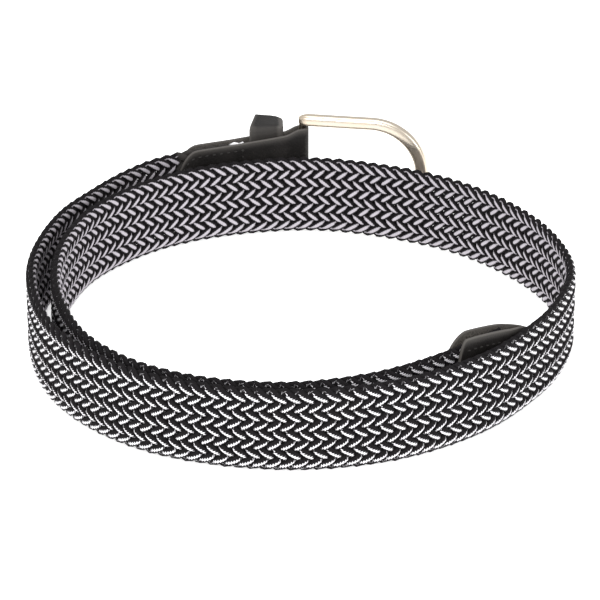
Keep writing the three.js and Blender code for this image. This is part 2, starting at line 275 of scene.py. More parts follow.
def cordMaterial():
    looks = cordFinish
    finish = Finish("braided_cord", Roughness=0.85, Specular_IOR_Level=0.15)
    tree = finish.tree
    side = finish.attribute("side", "Vector")
    along = finish.attribute("along")
    swell = finish.attribute("swell")
    rim = finish.attribute("rim")
    lean = finish.attribute("lean")
    outSide, upSide, _ = splitVector(tree, side)
    steps = along / looks["stitch"]
    saw = steps.math("FRACT") - 0.5
    strips = []
    for key, facing in (("outerStrip", outSide), ("innerStrip", -outSide)):
        strip = looks[key]
        soft = strip["soft"]
        lift = (1.0 - swell) * strip["endLift"] + rim * strip["rimLift"] - saw * strip["teeth"]
        lift = lift + lean * strip["slant"]
        angle = upSide.math("ARCTAN2", facing).math("DEGREES") - (lift + strip["middle"])
        width = swell.smooth(strip["ending"], strip["whole"]) * strip["half"]
        strips.append((width - angle.math("ABSOLUTE")).smooth(-soft, soft))
    around = upSide.math("ARCTAN2", outSide)
    toEnd = finish.attribute("toEnd")
    bare = toEnd.smooth(looks["bareEnd"], looks["bareEnd"] * 0.8)
    covered = toEnd.smooth(looks["coveredEnd"], looks["coveredEnd"] - mm)
    coil = around * looks["yarns"]
    wind = steps * math.tau
    yarns = (coil + wind).math("SINE") * (coil - wind).math("SINE")
    place = finish.place()
    fuzz = finish.noise(place, looks["fuzzScale"], 3.0, 0.6)
    patches = finish.noise(place, looks["patchScale"], 2.0)
    # painted highlight: the black yarn turns lighter where the yarn and fuzz patterns peak
    darkGlintShare = (yarns * 0.35 + fuzz).smooth(0.42, 0.95)
    dark = blendColour(tree, darkGlintShare, looks["dark"], looks["darkGlint"])
    lightShare = (patches * 0.6 + fuzz * 0.5 - yarns * 0.2).smooth(0.3, 0.9)
    pale = blendColour(tree, lightShare, looks["lightShade"], looks["light"])
    # the inner side's light strips take a painted-shade grey instead of the white
    cord = blendColour(tree, strips[1], dark, looks["innerLightShaded"])
    cord = blendColour(tree, strips[0], cord, pale)
    cord = blendColour(tree, covered, cord, looks["painted"])
    finish.set("Base Color", blendColour(tree, bare, cord, looks["light"]))
    finish.bump(yarns * 0.5 + fuzz * 0.35, looks["yarnDepth"], 0.8)
    return finish.material


leatherFinish = {
    "face": (0.006, 0.005, 0.0045, 1),
    "faceWorn": (0.015, 0.013, 0.012, 1),
    # the cut edges' lighter grey is partly painted highlight of the light on the rims
    "edge": (0.085, 0.078, 0.072, 1),
    "flesh": (0.035, 0.031, 0.027, 1),  # the leather's rough inner side
    "fleshLight": (0.105, 0.095, 0.083, 1),
    "grainScale": 900,
    "grainDepth": 0.09 * mm,
    "patchScale": 90,
    "fineScale": 4000,
    "fibreScale": 1400,
}


def leatherMaterial():
    looks = leatherFinish
    finish = Finish("grained_leather", Specular_IOR_Level=0.3)
    tree = finish.tree
    place = finish.place()
    cells = addNode(
        tree,
        "ShaderNodeTexVoronoi",
        {"feature": "DISTANCE_TO_EDGE"},
        {"Vector": place, "Scale": looks["grainScale"], "Randomness": 1.0},
    )
    grain = out(tree, cells, "Distance").smooth(0.0, 0.25)
    patches = finish.noise(place, looks["patchScale"], 3.0)
    fine = finish.noise(place, looks["fineScale"], 2.0)
    # lighter edge colour: the strips' cut edges, partly painted highlight, and the keeper's painted
    # highlights
    edge = finish.attribute("edgeAndHighlight")
    rough = finish.attribute("roughSide")
    fibres = finish.noise(place, looks["fibreScale"], 4.0, 0.7)
    lighterPart = (patches + fine * 0.3).smooth(0.45, 0.9)
    face = blendColour(tree, lighterPart, looks["face"], looks["faceWorn"])
    flesh = blendColour(tree, fibres.smooth(0.35, 0.65), looks["flesh"], looks["fleshLight"])
    face = blendColour(tree, rough.smooth(0.5, 0.9), face, flesh)
    finish.set("Base Color", blendColour(tree, edge.smooth(0.2, 0.8), face, looks["edge"]))
    finish.set("Roughness", 0.46 + patches * 0.14 + edge * 0.08 + rough * 0.35)
    relief = grain * (1.0 - edge * 0.8) * (1.0 - rough) + fine * 0.3 + fibres * rough * 2.0
    finish.bump(relief, looks["grainDepth"], 0.7)
    return finish.material


metalFinish = {
    "colour": (0.72, 0.645, 0.54, 1),
    "colourWarm": (0.75, 0.645, 0.51, 1),
    "roughness": 0.3,
    "brushDepth": 0.004 * mm,
    "brushAlong": 400,
    "brushAcross": 9000,
    "patchScale": 60,
}


def metalMaterial():
    looks = metalFinish
    finish = Finish("satin_nickel", Metallic=1.0)
    tree = finish.tree
    place = finish.place()
    patches = finish.noise(place, looks["patchScale"], 3.0)
    x, y, z = splitVector(tree, place)
    long = looks["brushAlong"]
    lines = finish.noise(joinVector(tree, x * long, y * long, z * looks["brushAcross"]), 1.0, 2.0)
    warm = patches.smooth(0.3, 0.7)
    finish.set("Base Color", blendColour(tree, warm, looks["colour"], looks["colourWarm"]))
    finish.set("Roughness", looks["roughness"] + (patches - 0.5) * 0.12 + (lines - 0.5) * 0.1)
    finish.bump(lines + patches * 2, looks["brushDepth"], 0.5)
    return finish.material


stitching = {
    "dark": (0.012, 0.011, 0.010, 1),
    "light": (0.030, 0.027, 0.025, 1),
    "pitch": 2.9 * mm,
    "length": 1.5 * mm,
    "thickness": 0.55 * mm,
    "twistScale": 3500,
    "twistDepth": 0.05 * mm,
    "proud": 0.12,  # how far a stitch's middle stands over the leather, as a share of its thickness
    "tipInset": 4.8,  # mm from the leather's edge
    "strapInset": 3.0,
    "least": 0.6,  # mm from the middle of the strip at least
    "crossRow": 26.5,  # mm from the bar to the row across the strap's end
}


def threadMaterial():
    finish = Finish("waxed_thread", Roughness=0.6)
    place = finish.place()
    twist = finish.noise(place, stitching["twistScale"], 2.0)
    finish.set("Base Color", blendColour(finish.tree, twist, stitching["dark"], stitching["light"]))
    finish.bump(twist, stitching["twistDepth"], 0.6)
    return finish.material


def floorMaterial():
    glow = studio["floorGlow"]
    finish = Finish("lit_paper", Roughness=0.9, Specular_IOR_Level=0.1, Emission_Strength=glow)
    speckle = finish.noise(finish.place(), studio["floorSpeckle"], 2.0)
    base = studio["floorColour"]
    shade = tuple(value * studio["floorShade"] for value in base)
    paper = blendColour(finish.tree, speckle, (*base, 1), (*shade, 1))
    finish.set("Base Color", paper)
    finish.set("Emission Color", paper)
    return finish.material


cordCloth = cordMaterial()
leather = leatherMaterial()
metal = metalMaterial()
thread = threadMaterial()
print("materials are made")


# ---- meshes
def newPiece(name, vertices, faces, material, attributes=None):
    mesh = bpy.data.meshes.new(name)
    mesh.from_pydata([tuple(map(float, v)) for v in vertices], [], faces)
    mesh.materials.append(material)
    for key, values in (attributes or {}).items():
        attribute = mesh.attributes.new(key, "FLOAT", "POINT")
        attribute.data.foreach_set("value", np.array(values, float))
    mesh.shade_smooth()
    return linked(name, mesh)


def chainPiece(name, rows):
    # rows of points in mm, each one an open chain of edges
    vertices = []
    chain = []
    for row in rows:
        first = len(vertices)
        vertices.extend((np.array(row) * mm).tolist())
        chain.extend((i, i + 1) for i in range(first, len(vertices) - 1))
    mesh = bpy.data.meshes.new(name)
    mesh.from_pydata(vertices, chain, [])
    return linked(name, mesh)


def faceOutwards(piece):
    work = bmesh.new()
    work.from_mesh(piece.data)
    bmesh.ops.recalc_face_normals(work, faces=work.faces)
    work.to_mesh(piece.data)
    work.free()


def loft(name, rings, material, attributes=None, closed=False):
    # rings: one array of points for each cut, all with the same number of points
    sides = len(rings[0])
    faces = []
    count = len(rings)
    for ring in range(count if closed else count - 1):
        here = ring * sides
        following = (ring + 1) % count * sides
        for side in range(sides):
            far = (side + 1) % sides
            faces.append((here + side, here + far, following + far, following + side))
    if not closed:
        faces.append(tuple(range(sides))[::-1])
        faces.append(tuple(range((count - 1) * sides, count * sides)))
    piece = newPiece(name, np.concatenate(rings), faces, material, attributes)
    faceOutwards(piece)
    return piece


def bake(piece):
    # turns what the modifiers make into the piece's own mesh
    graph = bpy.context.evaluated_depsgraph_get()
    mesh = bpy.data.meshes.new_from_object(
        piece.evaluated_get(graph), preserve_all_data_layers=True, depsgraph=graph
    )
    old = piece.data
    piece.modifiers.clear()
    piece.data = mesh
    mesh.name = piece.name
    bpy.data.meshes.remove(old)
    return piece


def combine(piece, other, operation, material):
    # cuts another mesh out of the piece or joins it on, and removes that other mesh
    other.data.materials.append(material)
    change = piece.modifiers.new(other.name, "BOOLEAN")
    change.operation = operation
    change.solver = "EXACT"
    change.object = other
    bake(piece)
    bpy.data.objects.remove(other)


def roundedBlock(halfWide, halfHigh, corner, longSteps):
    # points round a rectangle with rounded corners, anticlockwise
    points = []
    quarter = np.linspace(0, math.pi / 2, 4)
    for turn, (x, y) in enumerate(((1, 1), (-1, 1), (-1, -1), (1, -1))):
        for angle in quarter + turn * math.pi / 2:
            points.append(
                (
                    x * (halfWide - corner) + corner * math.cos(angle),
                    y * (halfHigh - corner) + corner * math.sin(angle),
                )
            )
    full = []
    for index, point in enumerate(points):
        full.append(point)
        after = points[(index + 1) % len(points)]
        if abs(point[1] - after[1]) > 2 * corner:
            for step in range(1, longSteps):
                share = step / longSteps
                full.append(tuple(np.array(point) * (1 - share) + np.array(after) * share))
    return np.array(full)


# ---- the route of the belt, as its solids have it
belt = {
    "width": 35.0,
    "thickness": 4.2,
    "radius": 104.0,
    "turnGap": 1.8,
    "cadStep": 6.0,
    "step": 0.5,
    "curveSteps": 200,  # between two rows of the route
    "slopeReach": 1.75,  # how far before and after a spot its direction is taken
    "liftLength": 100.0,  # how long before the bar the strap begins to climb
    "liftEase": 2.2,
    # bearing in degrees, distance from the middle in radii, inside (0) or outside (1)
    "route": (
        (335, 0.965, 0), (326, 0.960, 0), (318, 0.942, 0), (309, 0.926, 0), (300, 0.935, 0),
        (286, 0.967, 0), (270, 1.005, 0), (252, 1.029, 0), (235, 1.034, 0), (218, 1.010, 0),
        (200, 0.967, 0), (182, 0.952, 0), (164, 0.963, 0), (145, 0.988, 0), (120, 0.999, 0),
        (90, 1.002, 0), (66, 0.990, 0), (46, 0.983, 0.25), (22, 0.986, 0.5), (0, 0.994, 0.75),
        (-18, 0.964, 1), (-32, 0.954, 1), (-50, 0.967, 1), (-72, 0.992, 1), (-95, 1.010, 1),
        (-122, 1.030, 1), (-148, 1.016, 1), (-178, 0.988, 1), (-204, 1.009, 1), (-219, 1.032, 1),
        (-230, 1.067, 1), (-238, 1.087, 1), (-246, 1.079, 1), (-256, 1.050, 1), (-264, 1.051, 1),
        (-270, 1.065, 1),
    ),
}
ends = {
    "leather": 1.3,
    "clearance": 0.3,
    "strapMargin": 0.1,  # how far the leather stands past each edge of the band
    "foldMargin": 1.3,
    "foldReach": 8.0,
    "keeperPinch": 0.6,
    "tipMargin": 1.7,
    "cutNose": 3.0,
    "tipLength": 49.0,
    "tipLayerStep": 2.4,
    "tipCutOutside": 4.5,
    "tipCutInside": 12.5,
    "tipTaper": 45.0,
    "tipNose": 3.5,
    "tipCover": 24.0,
    "buckleLength": 56.2,
    "buckleLayerStep": 1.2,
    "buckleCut": 10.0,
    "bandToBar": 25.0,
}
buckle = {
    "length": 56.4,
    "arm": 5.0,
    "toe": 5.6,
    "depth": 4.8,
    "squareness": 0.62,  # its section, between a rectangle (0) and an ellipse (1)
    "roundedEnd": (0.55, 0.8, 0.94),  # how thick its first cuts at the bar are
    "straightSteps": 24,
    "heading": -8.7,
    "windowClearance": 0.5,
    "bar": 1.3,
    "barClearance": 0.3,
    "prongPlay": 0.4,
    "prongWidth": 2.6,
    "prongThickness": 1.8,
    "prongOverhang": 0.3,
    "prongDroop": 3.2,
    "prongSettle": 0.15,
    "prongEdge": 0.25,
    "slotClearance": 0.6,
}
tongueHeight = belt["width"] + 2 * ends["tipMargin"]
layerSpace = belt["thickness"] / 2 + ends["clearance"]
foldSpace = buckle["bar"] + buckle["barClearance"]
windowHeight = tongueHeight + 2 * buckle["windowClearance"]
frameHeight = windowHeight + 2 * buckle["arm"]
foldLift = frameHeight / 2 - belt["width"] / 2
bandStart = ends["tipLength"] - ends["tipCover"]


def smoothStep(value):
    share = np.clip(value, 0, 1)
    return share * share * (3 - 2 * share)


def routePoints(spacing):
    # a centripetal Catmull-Rom curve through the rows, at equal steps
    corners = []
    for bearing, reach, outer in belt["route"]:
        radius = belt["radius"] * reach + outer * (belt["thickness"] + belt["turnGap"])
        angle = math.radians(bearing)
        corners.append((radius * math.cos(angle), radius * math.sin(angle)))
    corners = np.array(corners)
    corners = np.vstack((2 * corners[0] - corners[1], corners, 2 * corners[-1] - corners[-2]))
    dense = []
    shares = np.linspace(0, 1, belt["curveSteps"], endpoint=False)[:, None]
    for index in range(len(corners) - 3):
        p0, p1, p2, p3 = corners[index : index + 4]
        d0, d1, d2 = (math.sqrt(math.dist(a, b)) for a, b in ((p0, p1), (p1, p2), (p2, p3)))
        t1 = ((p1 - p0) / d0 - (p2 - p0) / (d0 + d1) + (p2 - p1) / d1) * d1
        t2 = ((p2 - p1) / d1 - (p3 - p1) / (d1 + d2) + (p3 - p2) / d2) * d1
        dense.append(
            p1
            + t1 * shares
            + (-3 * p1 + 3 * p2 - 2 * t1 - t2) * shares**2
            + (2 * p1 - 2 * p2 + t1 + t2) * shares**3
        )
    dense = np.vstack((*dense, corners[-2][None]))
    lengths = np.concatenate(([0], np.cumsum(np.hypot(*np.diff(dense, axis=0).T))))
    at = np.linspace(0, lengths[-1], round(lengths[-1] / spacing) + 1)
    return np.column_stack([np.interp(at, lengths, dense[:, axis]) for axis in range(2)]), at


middle, middleAt = routePoints(belt["step"])
beltLength = middleAt[-1]
bandEnd = beltLength - ends["bandToBar"]


def heightAt(distance):
    fromBar = beltLength - distance - foldSpace - ends["leather"]
    rise = foldLift * (1 - np.clip(fromBar / belt["liftLength"], 0, 1)) ** belt["liftEase"]
    lift = ends["tipMargin"] * (1 - smoothStep((distance - bandStart) / ends["tipCover"]))
    return belt["width"] / 2 + rise + lift


def stationAt(distance):
    # place, direction and outward normal of the belt at a distance from the tongue's nose, in mm
    distance = np.asarray(distance, float)
    place, before, after = (
        np.stack([np.interp(at, middleAt, middle[:, axis]) for axis in range(2)], -1)
        for at in (distance, distance - belt["slopeReach"], distance + belt["slopeReach"])
    )
    along = (after - before) / np.linalg.norm(after - before, axis=-1, keepdims=True)
    flat = np.zeros_like(distance)[..., None]
    outward = np.concatenate((-along[..., 1:], along[..., :1], flat), -1)
    place = np.concatenate((place, heightAt(distance)[..., None]), -1)
    return place, np.concatenate((along, flat), -1), outward


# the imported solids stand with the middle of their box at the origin
bandPlaces, _, bandOutward = stationAt(
    np.linspace(bandStart, bandEnd, round((bandEnd - bandStart) / belt["cadStep"]) + 1)
)
bandHalf = bandOutward * belt["thickness"] / 2
bandSides = np.vstack((bandPlaces + bandHalf, bandPlaces - bandHalf))
cadBand = np.array(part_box("braided_band")) / mm
shift = (cadBand[0] + cadBand[1]) / 2 - (bandSides.min(0) + bandSides.max(0)) / 2
shift[2] = 0
middle += shift[:2]
bar, _, _ = stationAt(beltLength)  # where the bar crosses the middle of the strap's end
print("the route is", round(float(beltLength), 2), "mm long, shifted by", shift.round(3))

# ---- the braid: every cord is one Geometry Nodes modifier on the belt's route
braid = {
    "cords": 17,
    "pitch": 5.06 * mm,  # along the belt, between one cord and the next
    "cordWidth": 3.2 * mm,
    "cordThickness": 2.1 * mm,
    "step": 0.9 * mm,
    "sides": 10,
    "edgeRound": 0.08,  # how soon a cord turns at the edges, as a share of its way across
    "weaveEase": 2.4,  # the higher, the quicker a cord dips under the others
    "sag": 0.15 * mm,  # how far a cord hangs down on the outer side, and up on the inner side
    "unevenness": 0.22 * mm,
    "wander": 160,  # how quickly the unevenness changes along a cord
    "wanderApart": 7.3,  # and how much it differs from cord to cord
    "borderDecay": 2.9,  # how soon the weave is even, away from the strap's edges
    "rimDecay": 1.1,
    "hemSwell": 0.7,  # how wide the light strips stay at the strap's edges
    "frayedEnd": 1.8 * mm,  # how far the cords reach past the band's end beside the keeper
    "seed": 4.0,
}


def newTree(name, numbers, others=None):
    tree = bpy.data.node_groups.new(name, "GeometryNodeTree")
    kinds = {"Geometry": "Geometry", **dict.fromkeys(numbers, "Float"), **(others or {})}
    kinds["Material"] = "Material"
    for key, kind in kinds.items():
        tree.interface.new_socket(key, in_out="INPUT", socket_type="NodeSocket" + kind)
    tree.interface.new_socket("Geometry", in_out="OUTPUT", socket_type="NodeSocketGeometry")
    entry = addNode(tree, "NodeGroupInput")
    return tree, {socket.name: Signal(tree, socket) for socket in entry.outputs if socket.name}


def finishTree(tree, geometry, material):
    realized = out(tree, addNode(tree, "GeometryNodeRealizeInstances", None, {0: geometry}))
    values = {"Geometry": realized, "Material": material}
    painted = out(tree, addNode(tree, "GeometryNodeSetMaterial", None, values))
    exitNode = addNode(tree, "NodeGroupOutput")
    tree.links.new(painted.socket, exitNode.inputs[0])


def useTree(piece, tree, values):
    modifier = piece.modifiers.new(tree.name, "NODES")
    modifier.node_group = tree
    for item in tree.interface.items_tree:
        if item.item_type == "SOCKET" and item.in_out == "INPUT" and item.name in values:
            modifier[item.identifier] = values[item.name]
    return bake(piece)


def cordTree():
    numbers = (
        "Start", "Length", "Step", "Turn", "Cords", "Cycle", "Height", "Depth", "Width",
        "Thickness", "Edge Round", "Weave Ease", "Sag", "Unevenness", "Seed",
    )  # fmt: skip
    tree, given = newTree("braidedCord", numbers, {"Sides": "Int"})
    route = out(tree, addNode(tree, "GeometryNodeMeshToCurve", None, {0: given["Geometry"]}))
    count = given["Length"] / given["Step"]
    line = addNode(tree, "GeometryNodeMeshLine", {"mode": "OFFSET"}, {"Count": count})
    path = out(tree, addNode(tree, "GeometryNodeMeshToCurve", None, {0: out(tree, line)}))
    index = out(tree, addNode(tree, "GeometryNodeInputIndex"))
    distance = index * given["Step"]
    sample = addNode(
        tree,
        "GeometryNodeSampleCurve",
        {"mode": "LENGTH", "data_type": "FLOAT"},
        {"Curves": route, "Length": distance + given["Start"]},
    )
    place = out(tree, sample, "Position")
    x, y, _ = splitVector(tree, out(tree, sample, "Tangent"))
    outward = vectorMath(tree, "NORMALIZE", joinVector(tree, -y, x, 0.0))
    # where the cord is on its way down (0 to 0.5) and up again (0.5 to 1)
    phase = (distance / given["Cycle"] + given["Turn"] / given["Cords"]).math("FRACT")
    goingUp = phase.math("GREATER_THAN", 0.5) * 2 - 1.0
    down = 1.0 - (phase * 2 - 1.0).math("ABSOLUTE")
    ease = given["Edge Round"]
    ease2 = ease * ease
    fromTop = (down * down + ease2).math("SQRT")
    fromFoot = ((1.0 - down) * (1.0 - down) + ease2).math("SQRT")
    whole = (ease2 + 1.0).math("SQRT") - ease
    rounded = (fromTop - fromFoot + whole) / (whole * 2)
    # two cords over, two cords under, with the borders between the crossings
    level = down * given["Cords"]
    toFoot = given["Cords"] - level
    nearTop = (level * -braid["borderDecay"]).math("EXPONENT") * 0.5
    nearFoot = (toFoot * -braid["borderDecay"]).math("EXPONENT") * 0.5
    wave = (level - 0.5 + nearTop - nearFoot) * (math.pi / 2)
    turn = wave.math("SINE")
    side = (turn * given["Weave Ease"]).math("TANH") * goingUp
    apart = given["Turn"] * braid["wanderApart"]
    spot = joinVector(tree, distance * braid["wander"], apart, given["Seed"])
    values = {"Vector": spot, "Scale": 1.0, "Detail": 1.0}
    noise = addNode(tree, "ShaderNodeTexNoise", None, values)
    uneven = (out(tree, noise, "Fac") - 0.5) * given["Unevenness"] * 2
    outwards = vectorMath(tree, "SCALE", outward)
    scale = outwards.socket.node.inputs["Scale"]
    tree.links.new((side * given["Depth"]).socket, scale)
    sag = side * given["Sag"]
    rise = joinVector(tree, 0.0, 0.0, (0.5 - rounded) * given["Height"] + uneven - sag)
    position = vectorMath(tree, "ADD", vectorMath(tree, "ADD", place, outwards), rise)
    values = {"Geometry": path, "Position": position}
    path = out(tree, addNode(tree, "GeometryNodeSetPosition", None, values))
    facing = addNode(
        tree, "GeometryNodeSetCurveNormal", {"mode": "FREE"}, {"Curve": path, "Normal": outward}
    )
    path = out(tree, facing)
    alongCord = out(tree, addNode(tree, "GeometryNodeSplineParameter"), "Length")
    path = storeValue(tree, path, "along", "FLOAT", alongCord)
    decay = -braid["rimDecay"]
    rim = (level * decay).math("EXPONENT") + (toFoot * decay).math("EXPONENT")
    path = storeValue(tree, path, "rim", "FLOAT", rim)
    hem = level.math("MINIMUM", toFoot)
    hemSwell = hem.math("LESS_THAN", 1.0) * hem * braid["hemSwell"]
    swell = turn.math("ABSOLUTE").math("MAXIMUM", hemSwell)
    path = storeValue(tree, path, "swell", "FLOAT", swell)
    # from -1 at the upper end of each visible stretch to 1 at its lower end
    lean = turn.math("SIGN") * wave.math("COSINE") * -1.0
    path = storeValue(tree, path, "lean", "FLOAT", lean)
    path = storeValue(tree, path, "toEnd", "FLOAT", given["Length"] - distance)
    ring = addNode(tree, "GeometryNodeCurvePrimitiveCircle", {"mode": "RADIUS"})
    tree.links.new(given["Sides"].socket, ring.inputs["Resolution"])
    ring.inputs["Radius"].default_value = 1.0
    around = out(tree, addNode(tree, "GeometryNodeInputPosition"))
    ring = storeValue(tree, out(tree, ring), "side", "FLOAT_VECTOR", around)
    shape = joinVector(tree, given["Thickness"] / 2, given["Width"] / 2, 1.0)
    values = {"Geometry": ring, "Position": vectorMath(tree, "MULTIPLY", around, shape)}
    ring = out(tree, addNode(tree, "GeometryNodeSetPosition", None, values))
    values = {"Curve": path, "Profile Curve": ring, "Fill Caps": True}
    cord = out(tree, addNode(tree, "GeometryNodeCurveToMesh", None, values))
    finishTree(tree, cord, given["Material"])
    return tree


def storeValue(tree, geometry, name, kind, value):
    settings = {"data_type": kind, "domain": "POINT"}
    values = {"Geometry": geometry, "Name": name}
    node = addNode(tree, "GeometryNodeStoreNamedAttribute", settings, values)
    tree.links.new(value.socket, findSocket(node.inputs, "Value"))
    return out(tree, node)


def makeBraid():
    tree = cordTree()
    places, _, _ = stationAt(np.arange(0, beltLength + 0.5, 1.0))
    pieces = []
    for turn in range(braid["cords"]):
        piece = chainPiece(f"braid_cord_{turn + 1:02d}", [places])
        useTree(
            piece,
            tree,
            {
                "Start": bandStart * mm,
                "Length": (bandEnd - bandStart) * mm + braid["frayedEnd"],
                "Step": braid["step"],
                "Turn": float(turn),
                "Cords": float(braid["cords"]),
                "Cycle": braid["pitch"] * braid["cords"],
                "Height": belt["width"] * mm - braid["cordWidth"],
                "Depth": (belt["thickness"] * mm - braid["cordThickness"]) / 2,
                "Width": braid["cordWidth"],
                "Thickness": braid["cordThickness"],
                "Sides": braid["sides"],
                "Edge Round": braid["edgeRound"],
                "Weave Ease": braid["weaveEase"],
                "Sag": braid["sag"],
                "Unevenness": braid["unevenness"],
                "Seed": braid["seed"],
                "Material": cordCloth,
            },
        )
        piece.data.shade_smooth()
        pieces.append(piece)
    return pieces


cords = makeBraid()
cordFaces = [len(piece.data.polygons) for piece in cords]
print("the braid has", len(cords), "cords and", sum(cordFaces), "faces")


# ---- leather ends
def stripRing(centre, across, halfHeight, nose=False):
    # an upright cut through a strip, how far each of its points is a cut edge, painted lighter
    # partly as painted highlight, and its rough side
    thick = ends["leather"] / 2
    section = roundedBlock(thick, halfHeight, thick * 0.72, 8)
    points = centre + section[:, :1] * across + section[:, 1:] * up
    edge = smoothStep((np.abs(section[:, 1]) - (halfHeight - thick * 1.1)) / (thick * 0.7))
    rough = smoothStep(-section[:, 0] / thick)
    return points, np.ones(len(edge)) if nose else edge, rough


def foldedStrip(name, stationsOf, distanceOf, turnSpace):
    # runs along the outer side of the band, turns round an end and comes back on the inner side
    rings = []
    edges = []
    roughs = []

    def run(side):
        found = []
        for index, (away, space, height, halfHeight) in enumerate(stationsOf(side)):
            place, _, outward = stationAt(distanceOf(away))
            centre = place + outward * side * (space + ends["leather"] / 2)
            centre[2] = height
            found.append(stripRing(centre, outward * side, halfHeight, index == 0))
        return found

    place, along, outward = stationAt(distanceOf(0))
    ahead = along * np.sign(distanceOf(0) - distanceOf(1))
    _, _, place[2], turnHeight = stationsOf(1)[-1]
    turn = []
    turnSteps = 14
    for step in range(1, turnSteps):
        angle = math.pi / 2 - math.pi * step / turnSteps
        across = outward * math.sin(angle) + ahead * math.cos(angle)
        centre = place + across * (turnSpace + ends["leather"] / 2)
        turn.append(stripRing(centre, across, turnHeight))
    for points, edge, rough in (*run(1), *turn, *run(-1)[::-1]):
        rings.append(points * mm)
        edges.append(edge)
        roughs.append(rough)
    marks = {"edgeAndHighlight": np.concatenate(edges), "roughSide": np.concatenate(roughs)}
    return loft(name, rings, leather, marks)


def roundedHeight(toEnd, length, nose, full):
    # half height at a distance from an end that is rounded over a given length
    share = np.clip(toEnd / length, 0, 1)
    return np.maximum(nose, full * np.sqrt(1 - (1 - share) ** 2))


def awaysFrom(length, cut):
    # closer together round the cut, and about 1 mm apart from there to the turn
    angles = np.linspace(0, math.pi / 2, 14)[:-1]
    rest = np.linspace(length - cut, 0.01, round(length - cut))
    return np.concatenate((length - cut * (1 - np.cos(angles)), rest))


def spread(share):
    # how far the two layers have parted between the turn (0) and the band's end (1)
    return smoothStep((share - 0.35) / 0.6)


def tipSize(side):
    if side > 0:
        return ends["tipLength"], ends["tipCutOutside"]
    return ends["tipLength"] + ends["tipLayerStep"], ends["tipCutInside"]


def tipHeight(side, away):
    length, cut = tipSize(side)
    full = tongueHeight / 2
    nose = roundedHeight(away, ends["tipTaper"], ends["tipNose"], full)
    return np.minimum(nose, roundedHeight(length - away, cut, ends["cutNose"], full))


def tipSpace(away):
    thin = ends["clearance"] / 2
    return thin + (layerSpace - thin) * spread(away / bandStart)


def tipStations(side):
    return [
        (away, tipSpace(away), tongueHeight / 2, tipHeight(side, away))
        for away in awaysFrom(*tipSize(side))
    ]


def tipDistance(away):
    return away


def buckleSize(side):
    return ends["buckleLength"] - (ends["buckleLayerStep"] if side > 0 else 0), ends["buckleCut"]


def buckleHeight(side, away):
    # widest at the fold, drawn in beside the keeper, and a little wider than the band from there
    length, cut = buckleSize(side)
    drawnIn = (ends["foldMargin"] + ends["keeperPinch"]) * smoothStep(away / ends["foldReach"])
    flare = ends["foldMargin"] - drawnIn
    beyond = smoothStep((away - ends["foldReach"]) / (ends["bandToBar"] - ends["foldReach"]))
    full = belt["width"] / 2 + flare + (ends["strapMargin"] + ends["keeperPinch"]) * beyond
    return roundedHeight(length - away, cut, ends["cutNose"], full)


def buckleSpace(away):
    return foldSpace + (layerSpace - foldSpace) * spread(away / ends["bandToBar"])


def buckleStations(side):
    return [
        (away, buckleSpace(away), heightAt(beltLength - away), buckleHeight(side, away))
        for away in awaysFrom(*buckleSize(side))
    ]


def buckleDistance(away):
    return beltLength - away


def makeBuckleLeather():
    strip = foldedStrip("buckle_strap_end", buckleStations, buckleDistance, foldSpace)
    place, along, _ = stationAt(beltLength)
    reach = foldSpace + buckle["prongThickness"] + buckle["slotClearance"]
    high = buckle["prongWidth"] / 2 + buckle["slotClearance"]
    cutter = linked("slot_cutter", bpy.data.meshes.new("slot_cutter"))
    work = bmesh.new()
    bmesh.ops.create_cube(work, size=2)
    work.transform(
        Matrix.Translation(Vector(place * mm))
        @ Matrix.Rotation(math.atan2(along[1], along[0]), 4, "Z")
        @ Matrix.Diagonal((reach * mm, 2 * reach * mm, high * mm, 1))
    )
    work.to_mesh(cutter.data)
    work.free()
    combine(strip, cutter, "DIFFERENCE", leather)
    return strip


tipCover = foldedStrip("tip_cover", tipStations, tipDistance, ends["clearance"] / 2)
strapEnd = makeBuckleLeather()
print("the leather ends are made")


# ---- keeper
keeper = {
    "distance": 15.4,
    "widthInside": 15.0,
    "widthOutside": 12.0,
    "thickness": 1.6,
    "slot": 8.3,
    "headroom": 1.3,
    "rise": 0.4,
    "skew": 1.0,  # how much the outer run's top slants down towards the buckle, each way
    "lean": 3.0,
    "corner": 1.6,
    "curl": 1.2,  # how far its edge beside the buckle is bent towards the strap
    "curlEase": 3.0,
    "litEdgeWidth": 3.4,  # how wide the painted highlight along its curled edge is
    "nearWallHighlight": 0.45,  # how much painted highlight lightens its run inside the strap's end
}


